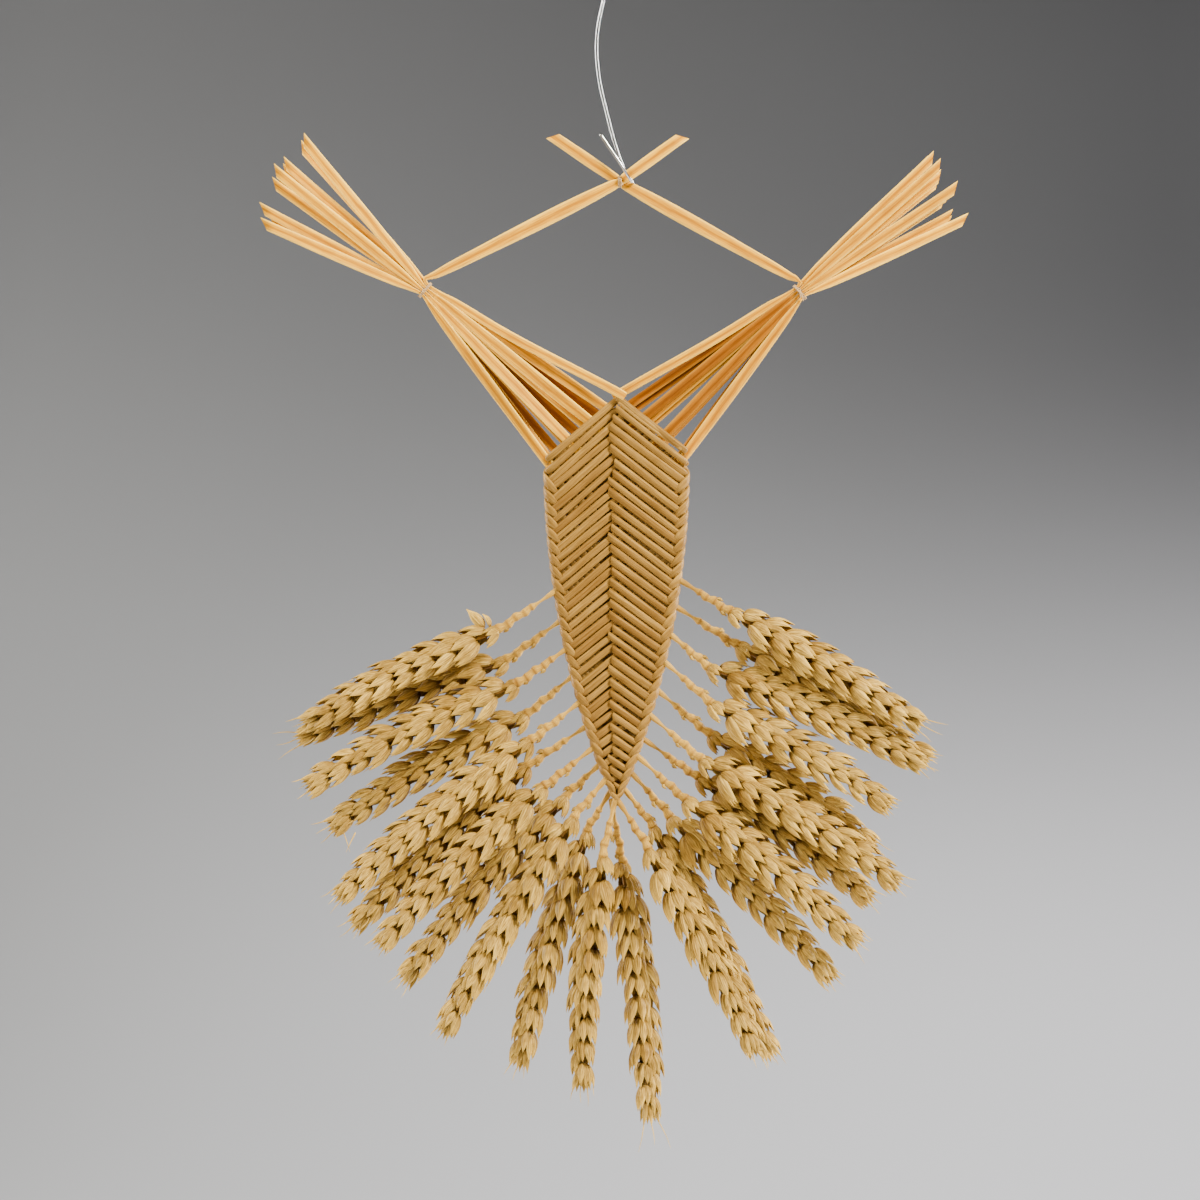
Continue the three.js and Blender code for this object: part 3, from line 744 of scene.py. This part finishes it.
def makeEar(name, values):
    neckAngle, neckLength, earAngle, earLength, awn = values
    rng = random.Random(sum(map(ord, name)) * 7 + ear["seed"])
    low, high = nodeBox(name)
    side = -1 if "left" in name or "centre" in name else 1
    depth = low[1] + ear["halfDepth"] if -low[1] > high[1] else high[1] - ear["halfDepth"]

    def aim(angle):
        turn = math.radians(angle)
        return np.array([side * math.cos(turn), 0.0, -math.sin(turn)])

    if name == "ear_centre":
        rootX = low[0] + 0.9
    else:
        rootX = high[0] - ear["neckStart"] if side < 0 else low[0] + ear["neckStart"]
    root = np.array([rootX, math.copysign(1.3, depth), high[2] - 0.7])
    base = root + aim(neckAngle) * neckLength
    base[1] = depth * 0.9
    tip = base + aim(earAngle) * earLength
    tip[1] = depth
    across = np.cross(aim(earAngle), front) * side
    if across[2] < 0:
        across = -across
    sag = rng.uniform(1.2, 2.2)

    def spine(s):
        return base + (tip - base) * s + across * sag * math.sin(math.pi * min(1, max(0, s)))

    gather = Gather()
    addNeck(gather, rng, root, base, aim(neckAngle), across, spine, neckLength)
    addSpikelets(gather, rng, spine, across, earLength)
    ahead = addTip(gather, rng, spine, across, earLength, awn)
    addStrays(gather, rng, name, spine, across, ahead, tip)
    gather.build("wheat_" + name, [scalePaint, neckPaint], [name], "wheat_ear")


for name, values in ears.items():
    makeEar(name, values)
for template in glumes + lemmas:
    bpy.data.meshes.remove(template)
print("stage: ears")

# The stems above the plait: place across the tie from 0 to 3, and layer from 0 to 2, of each.
leftSlots = [(1, 0), (2, 0), (3, 0), (0, 1), (1, 1), (2, 1), (3, 1), (0, 2), (2, 2), (3, 2)]
rightSlots = [(1, 0), (2, 0), (3, 0), (0, 1), (1, 1), (2, 1), (3, 1), (0, 2), (1, 2), (2, 2), (3, 2)]
stem = {
    "width": 3.1, "thickness": 0.95, "slotPitch": 1.27, "layerPitch": 1.25, "waist": 0.98, "pinch": 1.6,
    "groove": 0.42, "cutSlant": 1.9, "axis": (0.755, 0.656), "seed": 21,
    "paintedShade": {-1: (0.2, 0.5, 0.8), 1: (0.5, 0.7, 0.8)},  # how much darker each layer is below its tie
}
tieCentres = {}
for tieName in ("tie_left", "tie_right", "tie_top"):
    low, high = nodeBox(tieName)
    tieCentres[tieName] = (low + high) / 2


def slotPoint(side, slot, layer, ahead):
    centre = tieCentres["tie_left" if side < 0 else "tie_right"]
    along, up = stem["axis"]
    axis = np.array([side * along, 0, up])
    across = np.array([-side * up, 0, along])
    point = centre + across * (1.5 - slot) * stem["slotPitch"] + axis * ahead
    point[1] = centre[1] + (layer - 1) * stem["layerPitch"]
    return point


def towards(a, b, distance):
    return a + unit(b - a) * distance


# The tone of a stem: below its tie, painted shade for its layer in the bundle, and its own tone above it.
def stemTone(below, above, waistAt):
    def tone(along):
        share = min(1, max(0, (along - waistAt + 4) / 8))
        return min(1, max(0, below + (above - below) * share))
    return tone


def makeStems(sideName, side, slots):
    rng = random.Random(stem["seed"] + side)
    for i, (slot, layer) in enumerate(slots):
        name = "straw_%s_%02d" % (sideName, i + 1)
        low, high = nodeBox(name)
        foot = np.array([high[0] - 0.8 if side < 0 else low[0] + 0.8, 0, low[2] + 1.2])
        foot[1] = 0.9 + stem["layerPitch"] * layer
        end = np.array([low[0] + 1.6 if side < 0 else high[0] - 1.6, 0, high[2] - 2.6])
        end[1] = slotPoint(side, slot, layer, 1)[1] + (layer - 1) * 2.2
        enter, leave = slotPoint(side, slot, layer, -1), slotPoint(side, slot, layer, 1)
        inner = foot + unit(foot - enter) * 5
        inner[1] = 0.1 + 0.3 * layer
        width, eased, pinch = stem["width"] * rng.uniform(0.97, 1.05), 0.82, stem["pinch"]
        lean = rng.uniform(-18, 18)
        course = [
            (inner, width * 0.9, 0), (foot, width, lean), (towards(enter, foot, 16), width, lean),
            (towards(enter, foot, 8), width * eased, lean), (towards(enter, foot, 3), pinch, lean),
            (enter, stem["waist"], 0), (leave, stem["waist"], 0),
            (towards(leave, end, 3), pinch, -lean), (towards(leave, end, 8), width * eased, -lean),
            (towards(leave, end, 15), width, -lean), (end, width, 0),
        ]
        rows = [[*point, wide, stem["thickness"], tilt] for point, wide, tilt in course]
        straw = sweep(rows, front, 34, 18, strawSection(stem["groove"]), ("round", "cut"),
                      (0, -side * stem["cutSlant"]))
        above = rng.uniform(0.5, 1.0)
        # Painted shade: the deeper layers, and the right bundle more, darker below the tie.
        below = above - stem["paintedShade"][side][layer]
        gather = Gather()
        gather.add(straw, stemTone(below, above, np.linalg.norm(enter - foot) + 5))
        gather.build("stem_%s_%02d" % (sideName, i + 1), [stemPaint], [name], "straw_stem")


hanger = {
    "width": 3.8, "thickness": 0.95, "lean": 0.65, "groove": 0.45, "cutSlant": 1.45, "seed": 77,
    # Where they end from the peak of the plait: the left one folds over it, the right one is behind it.
    "ends": {-1: [(2.6, -2.9, 0.4), (0.6, -3.0, 1.6), (-2.6, -1.2, 3.4)],
             1: [(-0.8, 1.6, 0.4), (3.0, 1.4, 2.6)]},
}


def makeHangers():
    rng = random.Random(hanger["seed"])
    crossing = tieCentres["tie_top"]
    apex = np.array([plaitAxis, 0, plaitTip + plait["height"]])
    full = hanger["width"]
    for sideName, side in (("left", -1), ("right", 1)):
        name = "hanger_straw_" + sideName
        low, high = nodeBox(name)
        foot = np.array([plaitAxis + side * 1.4, 0.9, low[2] + 1.0])
        enter, leave = slotPoint(side, 0, 0, -1), slotPoint(side, 0, 0, 1)
        bend = slotPoint(side, -0.35, 0, 2.2)
        lean = side * hanger["lean"]
        end = np.array([high[0] - 1.6 if side < 0 else low[0] + 1.6, lean, high[2] - 1.6])
        middle = np.array([crossing[0], lean, crossing[2]])
        course = [(apex + offset, 3.0) for offset in hanger["ends"][side]]
        course += [
            (towards(enter, foot, 26), 3.0), (towards(enter, foot, 9), 2.4), (enter, 1.0), (leave, 1.0),
            (bend, 1.3), (towards(bend, middle, 4), 2.5), (towards(bend, middle, 10), 3.4),
            (towards(bend, middle, 18), full), (towards(middle, bend, 6), full),
            (towards(middle, bend, 2), 3.3), (middle, 2.5), (towards(middle, end, 2), 3.3),
            (towards(middle, end, 6), full - 0.1), (end, full - 0.1),
        ]
        rows = [[*point, wide, hanger["thickness"]] for point, wide in course]
        gather = Gather()
        straw = sweep(rows, front, 48, 18, strawSection(hanger["groove"]), ("round", "cut"),
                      (0, -side * hanger["cutSlant"]))
        gather.add(straw, rng.uniform(0.5, 0.8))
        gather.build("hanging_stem_" + sideName, [stemPaint], [name], "straw_stem")


makeStems("left", -1, leftSlots)
makeStems("right", 1, rightSlots)
makeHangers()
print("stage: stems")

# The thread ties: axis, half the size across and in depth, turns, and the loose ends of the knot.
ties = {
    "tie_left": ((-0.755, 0.656), 2.95, 2.2, 2, [(-1.2, -1.4), (1.4, 1.0)]),
    "tie_right": ((0.755, 0.656), 2.95, 2.2, 2, [(1.4, -3.4), (0.5, -2.6)]),
    "tie_top": ((1, 0), 1.75, 1.45, 3, [(0.9, -1.6)]),
}
thread = {"width": 0.44, "knotWidth": 0.42, "pitch": 0.42, "stepsPerTurn": 18, "knotSteps": 15}
threadMaterial = threadPaint()


def squared(value):
    return math.copysign(abs(value) ** 0.72, value)


def makeTie(name, axis, halfAcross, halfDeep, turns, tail):
    rng = random.Random(len(name))
    centre = tieCentres[name]
    ahead = unit([axis[0], 0, axis[1]])
    across = np.array([-ahead[2], 0, ahead[0]])
    gather = Gather()
    rows = []
    steps = thread["stepsPerTurn"] * turns
    for i in range(steps + 1):
        turn = 2 * math.pi * i / thread["stepsPerTurn"]
        lead = (i / steps - 0.5) * turns * thread["pitch"]
        wander = 0.05 * math.sin(turn * 1.7)
        point = centre + across * squared(math.cos(turn)) * (halfAcross + wander) + ahead * lead
        point = point + front * squared(math.sin(turn)) * (halfDeep + wander)
        rows.append([*point, thread["width"], thread["width"]])
    gather.add(sweep(rows, lambda point: unit(point - centre), steps * 2, 7), 0.6)
    knot = centre + across * (halfAcross * 0.2) + front * (halfDeep + 0.1)
    loop = []
    for i in range(thread["knotSteps"]):
        turn = 2 * math.pi * i / 9
        point = knot + ahead * 0.42 * math.cos(turn) + across * 0.55 * math.sin(turn) + front * 0.035 * i
        loop.append([*point, thread["knotWidth"], thread["knotWidth"]])
    gather.add(sweep(loop, front, 30, 7), 0.7)
    for reach, fall in tail:
        start = knot + front * 0.3
        rows = [[*start, 0.4, 0.4], [*(start + np.array([reach * 0.4, -0.3, fall * 0.25])), 0.4, 0.4],
                [*(start + np.array([reach, -0.1, fall])), 0.34, 0.3]]
        gather.add(sweep(rows, front, 10, 6), 0.9)
    gather.build("thread_" + name, [threadMaterial], [name], "thread")


for name, values in ties.items():
    makeTie(name, *values)
print("stage: ties")

wireLow, wireHigh = nodeBox("wire_hook")
wire = {
    "radius": 0.5, "eye": 4.0,
    # Its course from the middle of the eye down, ending in the hook round the crossing.
    "path": [(-2.4, 0.3, -5.6), (-3.6, 0.4, -10), (-5.0, 0.6, -18.3), (-4.3, 1.2, -32.7),
             (-2.0, 2.0, -43), (2.6, 2.5, -59), (5.3, 2.3, -65.3), (6.6, 1.3, -67.1), (7.1, 0.0, -67.6),
             (6.6, -1.4, -67.3), (5.3, -2.4, -65.5), (3.2, -3.0, -62), (-0.6, -2.6, -56.4),
             (-3.7, -2.2, -51.7)],
}


def makeWire():
    radius, eye = wire["radius"], wire["eye"]
    top = wireHigh[2] - eye - radius
    rows = []
    for i in range(21):
        turn = math.radians(-62 - 15.25 * i)
        rows.append([eye * math.cos(turn), i * 0.015, top + eye * math.sin(turn)])
    rows += [[x, y, top + z] for x, y, z in wire["path"]]
    rows = [[*row, radius * 2, radius * 2] for row in rows]
    gather = Gather()
    gather.add(sweep(rows, front, 150, 12), 0.5)
    gather.build("wire", [wirePaint()], ["wire_hook"], "wire")


makeWire()
print("stage: wire")

# The backdrop, the lights and the camera, in metres. The greys, painted light and shade on the backdrop, run
# from the floor up, at its two sides.
backdrop = {
    "width": 12, "floor": -0.62, "near": -5, "bendFrom": 1.4, "bendRadius": 1.2, "wallRise": 4,
    "greyTop": 0.42, "greySide": 0.5,
    "left": [(0.0, 0.54), (0.2, 0.46), (0.4, 0.375), (0.6, 0.25), (0.8, 0.182), (1.0, 0.14)],
    "right": [(0.0, 0.95), (0.14, 0.95), (0.28, 0.56), (0.42, 0.25), (0.56, 0.11), (0.7, 0.083),
              (0.85, 0.08), (1.0, 0.055)],
}
lights = {
    "key_right": ((0.95, -0.8, 0.75), (0.4, 0.4), 86, (1.0, 0.98, 0.94)),
    "key_left": ((-1.0, -0.75, 0.6), (0.4, 0.4), 34, (1.0, 0.98, 0.95)),
    "rim_left": ((-1.1, 0.55, 0.1), (0.3, 0.8), 30, (1, 1, 1)),
    "rim_right": ((1.1, 0.55, 0.1), (0.3, 0.8), 34, (1, 1, 1)),
}
lightTarget = (0, 0, -0.2)
skyLight = {"color": (0.86, 0.88, 0.90, 1), "strength": 0.14}
view = {"lens": 135, "sensor": 36, "place": (-0.004, -1.5, -0.2067)}


# One sheet in three parts: the floor, a quarter bend and the wall.
def makeStage():
    bm = bmesh.new()
    bmesh.ops.create_grid(bm, x_segments=4, y_segments=48, size=0.5)
    floor, bendFrom, radius = backdrop["floor"], backdrop["bendFrom"], backdrop["bendRadius"]
    for vert in bm.verts:
        s = vert.co.y + 0.5
        x = vert.co.x * backdrop["width"]
        if s < 0.4:
            vert.co = (x, backdrop["near"] + s / 0.4 * (bendFrom - backdrop["near"]), floor)
        elif s < 0.7:
            turn = (s - 0.4) / 0.3 * math.pi / 2
            vert.co = (x, bendFrom + radius * math.sin(turn), floor + radius * (1 - math.cos(turn)))
        else:
            vert.co = (x, bendFrom + radius, floor + radius + (s - 0.7) / 0.3 * backdrop["wallRise"])
    mesh = bpy.data.meshes.new("backdrop")
    bm.to_mesh(mesh)
    bm.free()
    mesh.polygons.foreach_set("use_smooth", [True] * len(mesh.polygons))
    sheet = bpy.data.objects.new("backdrop", mesh)
    bpy.context.scene.collection.objects.link(sheet)
    paint = Paint("backdrop")
    where = paint.node("ShaderNodeTexCoord").outputs["Object"]
    split = paint.node("ShaderNodeSeparateXYZ", {0: where})
    # Painted light and shade: the backdrop brighter low down and darker up the wall, brighter at the lower
    # right and at the upper left.
    level = paint.spread(split.outputs[2], floor, backdrop["greyTop"], 0.0, 1.0)
    left = paint.ramp(level, [(stop, (grey, grey, grey)) for stop, grey in backdrop["left"]], "B_SPLINE")
    right = paint.ramp(level, [(stop, (grey, grey, grey * 1.04)) for stop, grey in backdrop["right"]],
                       "B_SPLINE")
    sideways = paint.spread(split.outputs[0], -backdrop["greySide"], backdrop["greySide"], 0.0, 1.0)
    paint.feed(paint.shader.inputs["Base Color"], paint.mix(sideways, left, right))
    paint.shader.inputs["Roughness"].default_value = 0.9
    mesh.materials.append(paint.material)


def addLight(name, place, size, power, color):
    light = bpy.data.lights.new(name, "AREA")
    light.shape = "RECTANGLE"
    light.size, light.size_y = size
    light.energy = power
    light.color = color
    lamp = bpy.data.objects.new(name, light)
    lamp.location = place
    lamp.rotation_mode = "QUATERNION"
    lamp.rotation_quaternion = (Vector(lightTarget) - Vector(place)).to_track_quat("-Z", "Y")
    bpy.context.scene.collection.objects.link(lamp)


makeStage()
for name, values in lights.items():
    addLight(name, *values)
world = bpy.data.worlds.new("world")
world.use_nodes = True
world.node_tree.nodes["Background"].inputs[0].default_value = skyLight["color"]
world.node_tree.nodes["Background"].inputs[1].default_value = skyLight["strength"]
bpy.context.scene.world = world

camera = bpy.data.cameras.new("camera")
camera.sensor_width = view["sensor"]
camera.lens = view["lens"]
cameraObject = bpy.data.objects.new("camera", camera)
cameraObject.location = view["place"]
cameraObject.rotation_euler = (math.radians(90), 0, 0)
bpy.context.scene.collection.objects.link(cameraObject)
bpy.context.scene.camera = cameraObject
